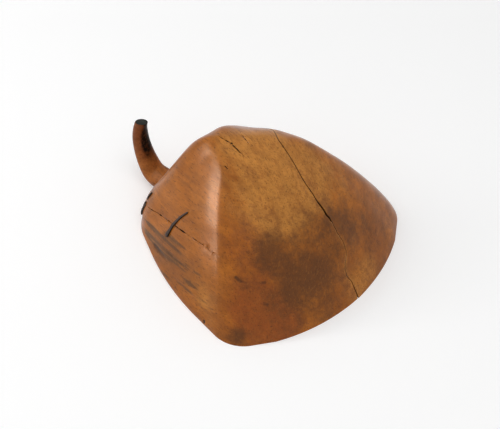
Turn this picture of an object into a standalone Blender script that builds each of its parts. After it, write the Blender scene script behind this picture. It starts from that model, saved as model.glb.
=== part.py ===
"""Carved wooden feed scoop with a hook handle, lying upside down on its rim.

The bowl has split along the grain from its lip to its back wall and is glued
together again, so it is two pieces with a line of old glue between them.
Iron staples hold a second crack shut on the near side wall. The hook handle
has a round tenon that goes through the back wall and is spread by a wedge.

X runs from the handle to the lip, +Z is up and the rim lies on Z = 0.
"""
import math

import bmesh
import bpy
from mathutils import Matrix, Vector
from mathutils.bvhtree import BVHTree

MM = 0.001

# Bowl, seen from above: a fan from a narrow back wall to a wide curved lip.
BOWL_LENGTH = 172.5 * MM
LIP_BULGE = 44.5 * MM
LIP_HALF_WIDTH = 114.8 * MM
BACK_HALF_WIDTH = 62.6 * MM
SIDE_BOW = 14.8 * MM
SIDE_RADIUS = 270.0 * MM
LIP_CORNER_RADIUS = 32.9 * MM
BACK_CORNER_RADIUS = 46.8 * MM

# Bowl, seen from the side: the heel is the deepest point.
BOWL_DEPTH = 98.4 * MM
HEEL_SETBACK = 115.8 * MM
WALL = 9.0 * MM
HEEL_THICKNESS = 12.0 * MM

# How full the slopes are between heel and rim: 1 is a straight slope.
FRONT_FULLNESS = 2.76
SIDE_FULLNESS = 2.17
BACK_FULLNESS = 1.80
HEEL_ROUNDNESS = 0.20

# The slopes are a little fuller towards the four corners.
BACK_CORNER_FULLNESS = 0.10
LIP_CORNER_FULLNESS = 0.20
CORNER_SPREAD = math.radians(20)

# The long split follows the grain, which runs a little across the bowl.
GRAIN_ANGLE = math.radians(-14.4)
SPLIT_OFFSET = 15.0 * MM
GLUE_THICKNESS = 0.8 * MM
GLUE_RECESS = 1.5 * MM

# Hook handle: a short run out of the back wall, a knuckle and a long hook upwards.
HANDLE_OFFSET = -18.5 * MM
HANDLE_HEIGHT = 12.7 * MM
HANDLE_RUN = 9.7 * MM
KNUCKLE_RADIUS = 12.8 * MM
KNUCKLE_ANGLE = math.radians(54)
HOOK_RADIUS = 59.5 * MM
HOOK_ANGLE = math.radians(111.2)
HANDLE_BASE_RADIUS = 12.0 * MM
HANDLE_TIP_RADIUS = 6.0 * MM
HANDLE_TAPER = 1.3
TIP_CUT_NORMAL = Vector((-0.26, 0.20, 0.94))

TENON_RADIUS = 7.5 * MM
TENON_ROOT = 12.0 * MM
WEDGE_THICKNESS = 1.4 * MM
WEDGE_WIDTH = 12.0 * MM
WEDGE_LENGTH = 10.0 * MM

# A drying crack on the near side, from its back end to its front end.
CRACK_BACK = Vector((-138.2, -63.4, 32.3)) * MM
CRACK_FRONT = Vector((-62.7, -78.0, 55.1)) * MM
CRACK_WIDTH = 0.8 * MM
CRACK_DEPTH = 5.0 * MM

# Iron staples across that crack: where each staple's two legs go in.
STAPLES = {
    "staple_rear": (Vector((-158.9, -45.4, 27.5)) * MM, Vector((-164.6, -52.5, 9.5)) * MM),
    "staple_side": (Vector((-99.1, -63.6, 61.4)) * MM, Vector((-114.0, -76.3, 30.7)) * MM),
}
STAPLE_WIRE_RADIUS = 1.3 * MM
STAPLE_LEG = 6.0 * MM

# Room left between pieces that touch on the real object.
CLEARANCE = 0.3 * MM

# How finely the round shapes are divided.
RINGS = 14
BACK_STEPS = 4
CORNER_STEPS = 6
SIDE_STEPS = 3
LIP_STEPS = 9
LIP_FLAT_SHARE = 1 / 3
KNUCKLE_STEPS = 5
HOOK_STEPS = 14
CROWN_STEPS = 6
TUBE_RESOLUTION = 4
HOLE_SIDES = 24
FIRST_RING_SHARE = 0.03


class BowlSize:
    """The sizes of one bowl form: the outside, or an offset of it."""

    def __init__(self, grow=0.0, grow_heel=0.0):
        self.back = BOWL_LENGTH + grow
        self.bulge = LIP_BULGE + grow
        self.lip_half = LIP_HALF_WIDTH + grow
        self.back_half = BACK_HALF_WIDTH + grow
        self.lip_radius = max(LIP_CORNER_RADIUS + grow, WALL)
        self.back_radius = max(BACK_CORNER_RADIUS + grow, WALL / 2)
        self.depth = BOWL_DEPTH + grow_heel


def clear_scene():
    for item in list(bpy.data.objects):
        bpy.data.objects.remove(item, do_unlink=True)


def make_collection(name):
    group = bpy.data.collections.new(name)
    bpy.context.scene.collection.children.link(group)
    return group


def make_material(name, colour, roughness, metallic=0.0):
    """A plain Principled material, with its colour given as sRGB hex."""
    material = bpy.data.materials.new(name)
    material.use_nodes = True
    shader = material.node_tree.nodes["Principled BSDF"]
    channels = [int(colour[i:i + 2], 16) / 255 for i in (0, 2, 4)]
    linear = [((c + 0.055) / 1.055) ** 2.4 if c > 0.04045 else c / 12.92 for c in channels]
    shader.inputs["Base Color"].default_value = (*linear, 1)
    shader.inputs["Roughness"].default_value = roughness
    shader.inputs["Metallic"].default_value = metallic
    return material


def add_object(name, mesh, group, material=None):
    item = bpy.data.objects.new(name, mesh)
    group.objects.link(item)
    if material:
        mesh.materials.append(material)
    return item


def add_cutter(name, mesh):
    item = add_object(name, mesh, cutters)
    item.hide_render = True
    item.display_type = "WIRE"
    return item


def boolean(item, operand, operation="DIFFERENCE"):
    modifier = item.modifiers.new(operand.name, "BOOLEAN")
    modifier.operation = operation
    modifier.solver = "EXACT"
    modifier.object = operand


def corner_arc(before, corner, after, radius):
    """Points of a fillet between two straight edges that meet at a corner."""
    to_before = before - corner
    to_after = after - corner
    half = to_before.angle(to_after) / 2
    shortest = min(to_before.length, to_after.length)
    radius = min(radius, 0.48 * shortest * math.tan(half))
    middle = to_before.normalized() + to_after.normalized()
    centre = corner + middle.normalized() * (radius / math.sin(half))
    start = corner + to_before.normalized() * (radius / math.tan(half)) - centre
    turn = math.pi - 2 * half
    angles = [-turn * i / CORNER_STEPS for i in range(CORNER_STEPS + 1)]
    return [centre + Matrix.Rotation(a, 2) @ start for a in angles]


def between(start, end, steps):
    """The points strictly between two points."""
    return [start.lerp(end, i / steps) for i in range(1, steps)]


def plan_ring(size, share):
    """The bowl's outline at a share of the way from the heel to the rim."""
    heel = Vector((-HEEL_SETBACK, 0))

    def place(x, y):
        return heel + (Vector((x, y)) - heel) * share

    lip_arc_radius = (size.lip_half ** 2 + size.bulge ** 2) / (2 * size.bulge)
    lip_centre = size.bulge - lip_arc_radius
    sweep = math.asin(size.lip_half / lip_arc_radius) * (1 - LIP_FLAT_SHARE)
    arc = []
    for i in range(LIP_STEPS):
        angle = sweep * (1 - i / (LIP_STEPS - 1))
        arc.append(place(lip_centre + lip_arc_radius * math.cos(angle), lip_arc_radius * math.sin(angle)))
    back_middle = place(-size.back, 0)
    back_corner = place(-size.back, size.back_half)
    lip_corner = place(0, size.lip_half)
    along_side = lip_corner - back_corner
    outwards = along_side.orthogonal().normalized()
    bowed = (back_corner + lip_corner) / 2 + outwards * SIDE_BOW * share
    rear = corner_arc(back_middle, back_corner, bowed, size.back_radius * share)
    side = corner_arc(back_corner, bowed, lip_corner, SIDE_RADIUS)
    front = corner_arc(bowed, lip_corner, arc[0], size.lip_radius)
    half = [back_middle] + between(back_middle, rear[0], BACK_STEPS) + rear
    half += between(rear[-1], side[0], SIDE_STEPS) + side
    half += between(side[-1], front[0], SIDE_STEPS) + front
    half += between(front[-1], arc[0], 3) + arc
    mirrored = [Vector((p.x, -p.y)) for p in reversed(half[1:-1])]
    return half + mirrored


def fullness_towards(point):
    """The slope's fullness in the direction of a point on the rim."""
    away = point - Vector((-HEEL_SETBACK, 0))
    forward = away.x / away.length
    end = FRONT_FULLNESS if forward > 0 else BACK_FULLNESS
    fullness = SIDE_FULLNESS + (end - SIDE_FULLNESS) * forward ** 2
    towards = math.atan2(abs(away.y), away.x)
    back_corner = math.atan2(BACK_HALF_WIDTH, HEEL_SETBACK - BOWL_LENGTH)
    lip_corner = math.atan2(LIP_HALF_WIDTH, HEEL_SETBACK)
    for corner, extra in ((back_corner, BACK_CORNER_FULLNESS), (lip_corner, LIP_CORNER_FULLNESS)):
        fullness += extra * math.exp(-((towards - corner) / CORNER_SPREAD) ** 2)
    return fullness


def drop(share, fullness):
    """How far the surface has fallen at a share of the way to the rim, 0 to 1."""
    blunt = HEEL_ROUNDNESS ** fullness
    fall = (share ** 2 + HEEL_ROUNDNESS ** 2) ** (fullness / 2) - blunt
    whole = (1 + HEEL_ROUNDNESS ** 2) ** (fullness / 2) - blunt
    return fall / whole


def bowl_form(name, size, skirt=0.0):
    """A closed solid lofted through the bowl's outlines, from heel to rim."""
    rim = plan_ring(size, 1)
    slopes = [fullness_towards(p) for p in rim]
    bm = bmesh.new()
    heel = bm.verts.new((-HEEL_SETBACK, 0, size.depth))
    rings = []
    for i in range(RINGS):
        along = FIRST_RING_SHARE + (1 - FIRST_RING_SHARE) * i / (RINGS - 1)
        share = math.sin(along * math.pi / 2)
        ring = []
        for point, slope in zip(plan_ring(size, share), slopes):
            ring.append(bm.verts.new((point.x, point.y, size.depth * (1 - drop(share, slope)))))
        rings.append(ring)
    if skirt:
        rings.append([bm.verts.new((p.x, p.y, -skirt)) for p in rim])
    count = len(rim)
    for i in range(count):
        j = (i + 1) % count
        bm.faces.new((heel, rings[0][i], rings[0][j]))
        for upper, lower in zip(rings, rings[1:]):
            bm.faces.new((upper[i], lower[i], lower[j], upper[j]))
    bm.faces.new(rings[-1])
    bmesh.ops.recalc_face_normals(bm, faces=bm.faces)
    bmesh.ops.triangulate(bm, faces=[f for f in bm.faces if len(f.verts) == 4])
    mesh = bpy.data.meshes.new(name)
    bm.to_mesh(mesh)
    bm.free()
    return mesh


def box(name, low, high, matrix=Matrix()):
    """A box between two corners, then moved by a matrix."""
    bm = bmesh.new()
    size = high - low
    stretch = Matrix.Diagonal((*size, 1))
    bmesh.ops.create_cube(bm, size=1, matrix=matrix @ Matrix.Translation((low + high) / 2) @ stretch)
    mesh = bpy.data.meshes.new(name)
    bm.to_mesh(mesh)
    bm.free()
    return mesh


def rod(name, start, end, radius):
    """A cylinder from one point to another."""
    along = end - start
    turn = along.to_track_quat("Z", "Y").to_matrix().to_4x4()
    bm = bmesh.new()
    bmesh.ops.create_cone(bm, cap_ends=True, segments=HOLE_SIDES, radius1=radius, radius2=radius,
                          depth=along.length, matrix=Matrix.Translation((start + end) / 2) @ turn)
    mesh = bpy.data.meshes.new(name)
    bm.to_mesh(mesh)
    bm.free()
    return mesh


def tube(name, points, radii):
    """A mesh tube along points, with a radius at each point and closed ends."""
    curve = bpy.data.curves.new(name, "CURVE")
    curve.dimensions = "3D"
    curve.bevel_depth = 1
    curve.bevel_resolution = TUBE_RESOLUTION
    curve.use_fill_caps = True
    spline = curve.splines.new("POLY")
    spline.points.add(len(points) - 1)
    for knot, point, radius in zip(spline.points, points, radii):
        knot.co = (*point, 1)
        knot.radius = radius
    holder = bpy.data.objects.new(name, curve)
    cutters.objects.link(holder)
    bpy.context.view_layer.update()
    evaluated = holder.evaluated_get(bpy.context.evaluated_depsgraph_get())
    mesh = bpy.data.meshes.new_from_object(evaluated)
    bpy.data.objects.remove(holder, do_unlink=True)
    bm = bmesh.new()
    bm.from_mesh(mesh)
    bmesh.ops.remove_doubles(bm, verts=bm.verts, dist=MM / 100)
    bmesh.ops.recalc_face_normals(bm, faces=bm.faces)
    bm.to_mesh(mesh)
    bm.free()
    return mesh


def bend(start, angle, end_angle, radius, steps):
    """Points of an arc in the handle's plane that starts and ends at given slopes."""
    centre = start + Vector((math.sin(angle), 0, math.cos(angle))) * radius
    points = []
    for i in range(1, steps + 1):
        a = angle + (end_angle - angle) * i / steps
        points.append(centre - Vector((math.sin(a), 0, math.cos(a))) * radius)
    return points


def handle_path():
    """Points along the middle of the hook handle, and the radius at each."""
    inside = Vector((-BOWL_LENGTH + 2 * WALL, HANDLE_OFFSET, HANDLE_HEIGHT))
    run_end = Vector((-BOWL_LENGTH - HANDLE_RUN, HANDLE_OFFSET, HANDLE_HEIGHT))
    points = [inside] + between(inside, run_end, 3) + [run_end]
    points += bend(run_end, 0, KNUCKLE_ANGLE, KNUCKLE_RADIUS, KNUCKLE_STEPS)
    points += bend(points[-1], KNUCKLE_ANGLE, HOOK_ANGLE, HOOK_RADIUS, HOOK_STEPS)
    lengths = [0.0]
    for a, b in zip(points, points[1:]):
        lengths.append(lengths[-1] + (b - a).length)
    narrowing = HANDLE_TIP_RADIUS - HANDLE_BASE_RADIUS
    radii = [HANDLE_BASE_RADIUS + narrowing * (s / lengths[-1]) ** HANDLE_TAPER for s in lengths]
    return points, radii


def staple_path(ends, surface):
    """Points along a staple whose crown lies on the bowl, with its legs in the wood."""
    lift = STAPLE_WIRE_RADIUS + CLEARANCE
    crown = []
    normals = []
    for i in range(CROWN_STEPS + 1):
        spot, normal, _, _ = surface.find_nearest(ends[0].lerp(ends[1], i / CROWN_STEPS))
        crown.append(spot + normal * lift)
        normals.append(normal)
    reach = lift + STAPLE_LEG
    first = crown[0] - normals[0] * reach
    last = crown[-1] - normals[-1] * reach
    return [first] + crown + [last]


clear_scene()
parts = make_collection("feed_scoop")
cutters = make_collection("cutters")

bowl_wood = make_material("bowl_wood", "9c6531", 0.42)
far_wood = make_material("far_side_wood", "8a5a30", 0.45)
handle_wood = make_material("handle_wood", "6e3c20", 0.40)
wedge_wood = make_material("wedge_wood", "a8834f", 0.60)
glue = make_material("old_glue", "c08a55", 0.70)
rear_iron = make_material("rear_staple_iron", "2b2724", 0.55, 0.9)
side_iron = make_material("side_staple_iron", "2b2724", 0.55, 0.9)

outside = BowlSize()
cavity = add_cutter("cavity", bowl_form("cavity", BowlSize(-WALL, -HEEL_THICKNESS), skirt=WALL))
reach = BOWL_LENGTH + LIP_BULGE + LIP_HALF_WIDTH
split_turn = Matrix.Translation((0, SPLIT_OFFSET, 0)) @ Matrix.Rotation(GRAIN_ANGLE, 4, "Z")
split_half = GLUE_THICKNESS / 2 + CLEARANCE

# The two parts of the bowl, either side of the long split
bowl_body = add_object("bowl_body", bowl_form("bowl_body", outside), parts, bowl_wood)
beyond = box("beyond_split", Vector((-reach, -split_half, -WALL)), Vector((reach, reach, reach)), split_turn)
boolean(bowl_body, cavity)
boolean(bowl_body, add_cutter("beyond_split", beyond))

bowl_far_side = add_object("bowl_far_side", bowl_form("bowl_far_side", outside), parts, far_wood)
before = box("before_split", Vector((-reach, -reach, -WALL)), Vector((reach, split_half, reach)), split_turn)
boolean(bowl_far_side, cavity)
boolean(bowl_far_side, add_cutter("before_split", before))

# The line of glue in the split, a little below the surface inside and out
glue_line = add_object("glue_line", bowl_form("glue_line", BowlSize(-GLUE_RECESS, -GLUE_RECESS)), parts, glue)
glue_core = BowlSize(GLUE_RECESS - WALL, GLUE_RECESS - HEEL_THICKNESS)
glue_slab = box("glue_slab", Vector((-reach, -GLUE_THICKNESS / 2, GLUE_RECESS)),
                Vector((reach, GLUE_THICKNESS / 2, reach)), split_turn)
boolean(glue_line, add_cutter("glue_core", bowl_form("glue_core", glue_core, skirt=WALL)))
boolean(glue_line, add_cutter("glue_slab", glue_slab), "INTERSECT")

# The hook handle: its foot is shaped to the back wall and its tenon goes through
path, path_radii = handle_path()
tip = path[-1]
beyond_tip = tip + (tip - path[-2]).normalized() * HANDLE_TIP_RADIUS
handle_tube = tube("handle", path + [beyond_tip], path_radii + [HANDLE_TIP_RADIUS])
handle = add_object("handle", handle_tube, parts, handle_wood)
tip_turn = Matrix.Translation(tip) @ TIP_CUT_NORMAL.to_track_quat("Z", "Y").to_matrix().to_4x4()
tip_side = 3 * HANDLE_TIP_RADIUS
tip_cut = box("tip_cut", Vector((-tip_side, -tip_side, 0)), Vector((tip_side, tip_side, tip_side)), tip_turn)
boolean(handle, add_cutter("tip_cut", tip_cut))
back_form = BowlSize(CLEARANCE, CLEARANCE)
boolean(handle, add_cutter("handle_seat", bowl_form("handle_seat", back_form, skirt=WALL)))
tenon_axis = Vector((0, HANDLE_OFFSET, HANDLE_HEIGHT))
tenon_root = tenon_axis - Vector((BOWL_LENGTH + TENON_ROOT, 0, 0))
tenon_end = tenon_axis - Vector((BOWL_LENGTH - 2 * WALL, 0, 0))
boolean(handle, add_cutter("tenon", rod("tenon", tenon_root, tenon_end, TENON_RADIUS)), "UNION")
boolean(handle, cavity)
mortise = rod("mortise", tenon_root, tenon_end, TENON_RADIUS + CLEARANCE)
boolean(bowl_body, add_cutter("mortise", mortise))

# The wedge that spreads the tenon from inside the bowl
wedge_half = Vector((0, WEDGE_THICKNESS / 2, WEDGE_WIDTH / 2))
room = Vector((0, CLEARANCE, TENON_RADIUS))
wedge_root = tenon_end - Vector((WALL + WEDGE_LENGTH, 0, 0))
kerf_root = wedge_root - Vector((CLEARANCE, 0, 0))
wedge = add_object("handle_wedge", box("handle_wedge", wedge_root - wedge_half, tenon_end + wedge_half),
                   parts, wedge_wood)
boolean(wedge, cavity)
kerf = box("kerf", kerf_root - wedge_half - room, tenon_end + wedge_half + room)
boolean(handle, add_cutter("kerf", kerf))

# The drying crack on the near side, cut square into the wall
crack_along = (CRACK_FRONT - CRACK_BACK).normalized()
crack_in = Vector((-crack_along.y, crack_along.x, 0)).normalized()
crack_up = crack_along.cross(crack_in)
crack_axes = Matrix((crack_along, crack_in, crack_up)).transposed().to_4x4()
crack_place = Matrix.Translation((CRACK_BACK + CRACK_FRONT) / 2) @ crack_axes
crack_half = Vector(((CRACK_FRONT - CRACK_BACK).length / 2, CRACK_DEPTH, CRACK_WIDTH / 2))
crack = box("crack", -crack_half, crack_half, crack_place)
boolean(bowl_body, add_cutter("crack", crack))

# The staples across it, with a hole in the wall for each leg
form = bmesh.new()
form.from_mesh(bowl_body.data)
surface = BVHTree.FromBMesh(form)
form.free()
for (name, ends), iron in zip(STAPLES.items(), (rear_iron, side_iron)):
    wire = staple_path(ends, surface)
    radii = [STAPLE_WIRE_RADIUS] * len(wire)
    add_object(name, tube(name, wire, radii), parts, iron)
    for tag, inner, outer in (("a", wire[0], wire[1]), ("b", wire[-1], wire[-2])):
        bottom = inner + (inner - outer).normalized() * CLEARANCE
        hole = rod(f"{name}_hole_{tag}", bottom, outer, STAPLE_WIRE_RADIUS + CLEARANCE)
        boolean(bowl_body, add_cutter(f"{name}_hole_{tag}", hole))

# The part's origin is under the middle of its box
handle_back = min(p.x - r for p, r in zip(path, path_radii))
middle = Vector(((handle_back + LIP_BULGE) / 2, 0, 0))
for item in list(parts.objects) + list(cutters.objects):
    item.data.transform(Matrix.Translation(-middle))
print("middle of the box, behind the lip corners:", round(middle.x / MM, 2), "mm")
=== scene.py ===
# %% [markdown]
# # A carved feed scoop, lying upside down on its rim
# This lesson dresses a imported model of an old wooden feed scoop. The frame holds plain solids
# at their real size. Each visible piece is made again here with more care, put in the same
# place, and given a finish: waxed wood, dry old glue and forged iron.

# %% Load the frame
import math

import bmesh
import bpy
from mathutils import Matrix, Quaternion, Vector, kdtree, noise
from mathutils.bvhtree import BVHTree


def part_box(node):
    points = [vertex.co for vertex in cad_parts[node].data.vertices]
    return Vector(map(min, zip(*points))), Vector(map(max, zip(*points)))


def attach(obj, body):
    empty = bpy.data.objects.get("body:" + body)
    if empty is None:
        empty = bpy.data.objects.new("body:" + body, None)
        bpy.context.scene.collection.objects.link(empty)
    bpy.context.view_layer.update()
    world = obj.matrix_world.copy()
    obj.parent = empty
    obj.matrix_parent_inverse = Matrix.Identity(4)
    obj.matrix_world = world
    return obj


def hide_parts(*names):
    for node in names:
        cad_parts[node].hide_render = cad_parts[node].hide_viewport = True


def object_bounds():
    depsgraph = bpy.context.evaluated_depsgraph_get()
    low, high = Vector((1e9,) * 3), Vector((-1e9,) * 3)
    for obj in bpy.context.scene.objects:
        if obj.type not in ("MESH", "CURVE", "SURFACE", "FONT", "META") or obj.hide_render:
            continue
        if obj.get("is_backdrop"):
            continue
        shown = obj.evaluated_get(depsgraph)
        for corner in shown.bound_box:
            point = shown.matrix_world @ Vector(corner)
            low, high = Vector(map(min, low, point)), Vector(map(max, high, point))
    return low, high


MM = 0.001
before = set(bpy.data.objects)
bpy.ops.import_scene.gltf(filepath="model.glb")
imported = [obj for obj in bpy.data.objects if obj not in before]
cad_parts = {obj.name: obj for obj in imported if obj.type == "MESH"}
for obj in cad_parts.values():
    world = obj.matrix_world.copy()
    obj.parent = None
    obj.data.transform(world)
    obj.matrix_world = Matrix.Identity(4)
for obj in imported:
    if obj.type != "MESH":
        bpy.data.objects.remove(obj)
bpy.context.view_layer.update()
print("frame nodes:", sorted(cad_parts))

# %% [markdown]
# ## The bowl's outline
# Seen from above, the bowl is a fan: a short back wall, two bowed sides and a long curved lip,
# with its corners rounded by the carver's knife. It could be drawn by eye as a curve. A function
# gives it here, because the same outline, drawn smaller, is each level of the bowl up to its heel.

# %% The bowl's sizes
BOWL_LENGTH = 172.5 * MM
LIP_BULGE = 44.5 * MM
LIP_HALF_WIDTH = 114.8 * MM
BACK_HALF_WIDTH = 62.6 * MM
SIDE_BOW = 14.8 * MM
SIDE_RADIUS = 270.0 * MM
LIP_CORNER_RADIUS = 32.9 * MM
BACK_CORNER_RADIUS = 46.8 * MM
BOWL_DEPTH = 98.4 * MM
HEEL_SETBACK = 115.8 * MM
WALL = 9.0 * MM
HEEL_THICKNESS = 12.0 * MM
LIP_FLAT_SHARE = 1 / 3

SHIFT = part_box("bowl_body")[1].x - LIP_BULGE
print("lip corners at x =", round(SHIFT / MM, 2), "mm")


def spot(x, y, z=0.0):
    """A place in millimetres, measured from between the lip corners, in the frame's metres."""
    return Vector((x * MM + SHIFT, y * MM, z * MM))


# %% The outline at one level
EDGE_SHARE = 0.48


def corner_arc(before, corner, after, radius, steps):
    """A rounded corner between two straight edges, which takes less than half of either edge."""
    to_before = before - corner
    to_after = after - corner
    half = to_before.angle(to_after) / 2
    radius = min(radius, EDGE_SHARE * min(to_before.length, to_after.length) * math.tan(half))
    middle = (to_before.normalized() + to_after.normalized()).normalized()
    centre = corner + middle * (radius / math.sin(half))
    start = corner + to_before.normalized() * (radius / math.tan(half)) - centre
    turn = math.pi - 2 * half
    return [centre + Matrix.Rotation(-turn * i / steps, 2) @ start for i in range(steps + 1)]


def straight(start, end, steps):
    """Points between the two ends of a straight line, without the ends."""
    return [start.lerp(end, i / steps) for i in range(1, steps)]


def outline(share, inset, steps):
    """Half of the bowl's outline, from the back to the lip, at a share of the way to the rim."""
    heel = Vector((-HEEL_SETBACK, 0))
    bulge = LIP_BULGE - inset
    lip_half = LIP_HALF_WIDTH - inset
    arc_radius = (lip_half ** 2 + bulge ** 2) / (2 * bulge)
    sweep = math.asin(lip_half / arc_radius) * (1 - LIP_FLAT_SHARE)
    lip = []
    for i in range(steps["lip"]):
        angle = sweep * (1 - i / (steps["lip"] - 1))
        lip.append(Vector((bulge - arc_radius + arc_radius * math.cos(angle), arc_radius * math.sin(angle))))
    corners = [Vector((inset - BOWL_LENGTH, 0)), Vector((inset - BOWL_LENGTH, BACK_HALF_WIDTH - inset)),
               Vector((0, lip_half)), *lip]
    corners = [heel + (c - heel) * share for c in corners]
    rear_radius = max(BACK_CORNER_RADIUS - inset, WALL / 2)
    front_radius = max(LIP_CORNER_RADIUS - inset, WALL)
    outwards = (corners[2] - corners[1]).orthogonal().normalized()
    bowed = (corners[1] + corners[2]) / 2 + outwards * SIDE_BOW * share
    rear = corner_arc(corners[0], corners[1], bowed, rear_radius * share, steps["corner"])
    side = corner_arc(corners[1], bowed, corners[2], SIDE_RADIUS, steps["side"])
    front = corner_arc(bowed, corners[2], corners[3], front_radius, steps["corner"])
    half = [corners[0], *straight(corners[0], rear[0], steps["back"]), *rear]
    half += [*straight(rear[-1], side[0], steps["straight"]), *side]
    half += [*straight(side[-1], front[0], steps["straight"]), *front]
    half += straight(front[-1], corners[3], steps["flat"])
    return half + corners[3:]


STEPS = {"back": 14, "corner": 16, "straight": 10, "side": 22, "flat": 10, "lip": 32}
half_count = len(outline(1, 0, STEPS))
print("points round the bowl:", 2 * half_count - 2)

# %% [markdown]
# ## How the bowl rises from rim to heel
# The heel is the deepest point of the scoop, and the top here because it lies upside down. The
# front slope is full and round, the sides are flatter. One number, the fullness, sets that: a
# straight slope is 1, and more than 2 is plump. It blends with the direction from the heel, and the
# corners are a little fuller than the walls beside them. Sculpting could give such a slope too, but
# a formula stays smooth and one number changes it.

# %% The slope
FRONT_FULLNESS = 2.76
SIDE_FULLNESS = 2.17
BACK_FULLNESS = 1.80
HEEL_ROUNDNESS = 0.20
CORNER_SPREAD = math.radians(20)
CORNER_FULLNESS = ((math.atan2(BACK_HALF_WIDTH, HEEL_SETBACK - BOWL_LENGTH), 0.10),
                   (math.atan2(LIP_HALF_WIDTH, HEEL_SETBACK), 0.20))


def fullness_towards(point):
    away = point - Vector((-HEEL_SETBACK, 0))
    forward = away.x / away.length
    end = FRONT_FULLNESS if forward > 0 else BACK_FULLNESS
    fullness = SIDE_FULLNESS + (end - SIDE_FULLNESS) * forward ** 2
    for corner, extra in CORNER_FULLNESS:
        fullness += extra * math.exp(-((math.atan2(abs(away.y), away.x) - corner) / CORNER_SPREAD) ** 2)
    return fullness


def height(share, fullness, depth):
    blunt = HEEL_ROUNDNESS ** fullness
    fall = (share ** 2 + HEEL_ROUNDNESS ** 2) ** (fullness / 2) - blunt
    whole = (1 + HEEL_ROUNDNESS ** 2) ** (fullness / 2) - blunt
    return depth * (1 - fall / whole)


print("height halfway down the front:", round(height(0.5, FRONT_FULLNESS, BOWL_DEPTH) / MM), "mm")

# %% [markdown]
# ## One sheet wrapped into a shell
# A flat grid can be wrapped like paper: its columns go round the bowl, and its rows run from the
# outside of the heel down to the rim, across the rim's edge, and up the inside to the heel again.
# Welding the seam and the two ends closes the wall, so no faces are listed by hand.

# %% Wrap a grid
WELD = MM / 1000


def wrap_grid(columns, rows, place):
    """A closed bmesh from a grid: place(column, row) gives each point, and the seams are welded."""
    bm = bmesh.new()
    bmesh.ops.create_grid(bm, x_segments=columns, y_segments=rows, size=1)
    skin = bm.verts.layers.float.new("skin")
    for vert in bm.verts:
        column = round((vert.co.x + 1) / 2 * columns) % columns
        row = round((vert.co.y + 1) / 2 * rows)
        vert.co, vert[skin] = place(column, row)
    bmesh.ops.remove_doubles(bm, verts=bm.verts, dist=WELD)
    bmesh.ops.dissolve_degenerate(bm, edges=bm.edges, dist=WELD / 10)
    bmesh.ops.recalc_face_normals(bm, faces=bm.faces)
    return bm


# %% Wrap the bowl's shell
OUTER_ROWS = 78
RIM_ROWS = 4
INNER_ROWS = 34
EDGE_ROUNDING = 1.6 * MM
FIRST_SHARE = 0.004


def full_ring(share, inset, depth):
    half = outline(share, inset, STEPS)
    rim = outline(1, inset, STEPS)
    ring = [Vector((p.x, p.y, height(share, fullness_towards(r), depth))) for p, r in zip(half, rim)]
    return ring + [Vector((p.x, -p.y, p.z)) for p in reversed(ring[1:-1])]


def shell_rings():
    """Every row of the wrapped grid, with 1 for the outside and 0 for the inside."""
    rings = []
    for i in range(OUTER_ROWS + 1):
        rings.append((full_ring(max(i / OUTER_ROWS, FIRST_SHARE), 0, BOWL_DEPTH), 1.0))
    inner = []
    for i in range(INNER_ROWS + 1):
        share = max(i / INNER_ROWS, FIRST_SHARE)
        inner.append((full_ring(share, WALL, BOWL_DEPTH - HEEL_THICKNESS), 0.0))
    for i in range(1, RIM_ROWS):
        pairs = zip(rings[OUTER_ROWS][0], inner[INNER_ROWS][0])
        rings.append(([a.lerp(b, i / RIM_ROWS) for a, b in pairs], 0.0))
    return rings + inner[::-1]


rings = shell_rings()
heel_points = {0: Vector((-HEEL_SETBACK, 0, BOWL_DEPTH)),
               len(rings) - 1: Vector((-HEEL_SETBACK, 0, BOWL_DEPTH - HEEL_THICKNESS))}


def place_shell(column, row):
    ring, outside = rings[row]
    point = heel_points.get(row, ring[column % len(ring)])
    if outside and point.z < EDGE_ROUNDING and row:
        drop = EDGE_ROUNDING - point.z
        pull = EDGE_ROUNDING - math.sqrt(EDGE_ROUNDING ** 2 - drop ** 2)
        inward = Vector((-HEEL_SETBACK - point.x, -point.y, 0)).normalized()
        point = point + inward * pull
    return point + Vector((SHIFT, 0, 0)), outside


shell = wrap_grid(len(rings[0][0]), len(rings) - 1, place_shell)
print("shell:", len(shell.verts), "points,", len(shell.faces), "faces, closed:",
      all(e.is_manifold for e in shell.edges))

# %% [markdown]
# ## The unevenness of hand work
# A drawknife leaves a surface that is nearly smooth but never exact. Smoothing rounds the ridges a
# little more than the plain outline does, a few swells and hollows follow what the eye sees, and
# two sizes of noise push the outside in by a fraction of a millimetre. Sculpting by hand would do
# this too, but noise gives the same surface on every run.

# %% Carve the surface a little uneven
FACET_WIDTH = 34 * MM
RIPPLE_WIDTH = 9 * MM
FACET_DEPTH = 0.5 * MM
RIPPLE_DEPTH = 0.12 * MM
SMOOTHINGS = 10
SMOOTHING_STRENGTH = 0.5
RIM_FADE = 10 * MM
# Each swell: its middle, how far it reaches and how much it stands out, in mm.
SWELLS = [((-160, -48, 20), 24, 4.5), ((-136, -6, 85), 19, 2.4),
          ((-129, 30, 84), 26, -2.8), ((-76, 54, 80), 24, 3.2)]


def swell_at(place):
    """How far the surface stands out at a place, from all the swells together."""
    return sum(rise * MM * math.exp(-((place - spot(*middle)).length / (reach * MM)) ** 2)
               for middle, reach, rise in SWELLS)


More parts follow.
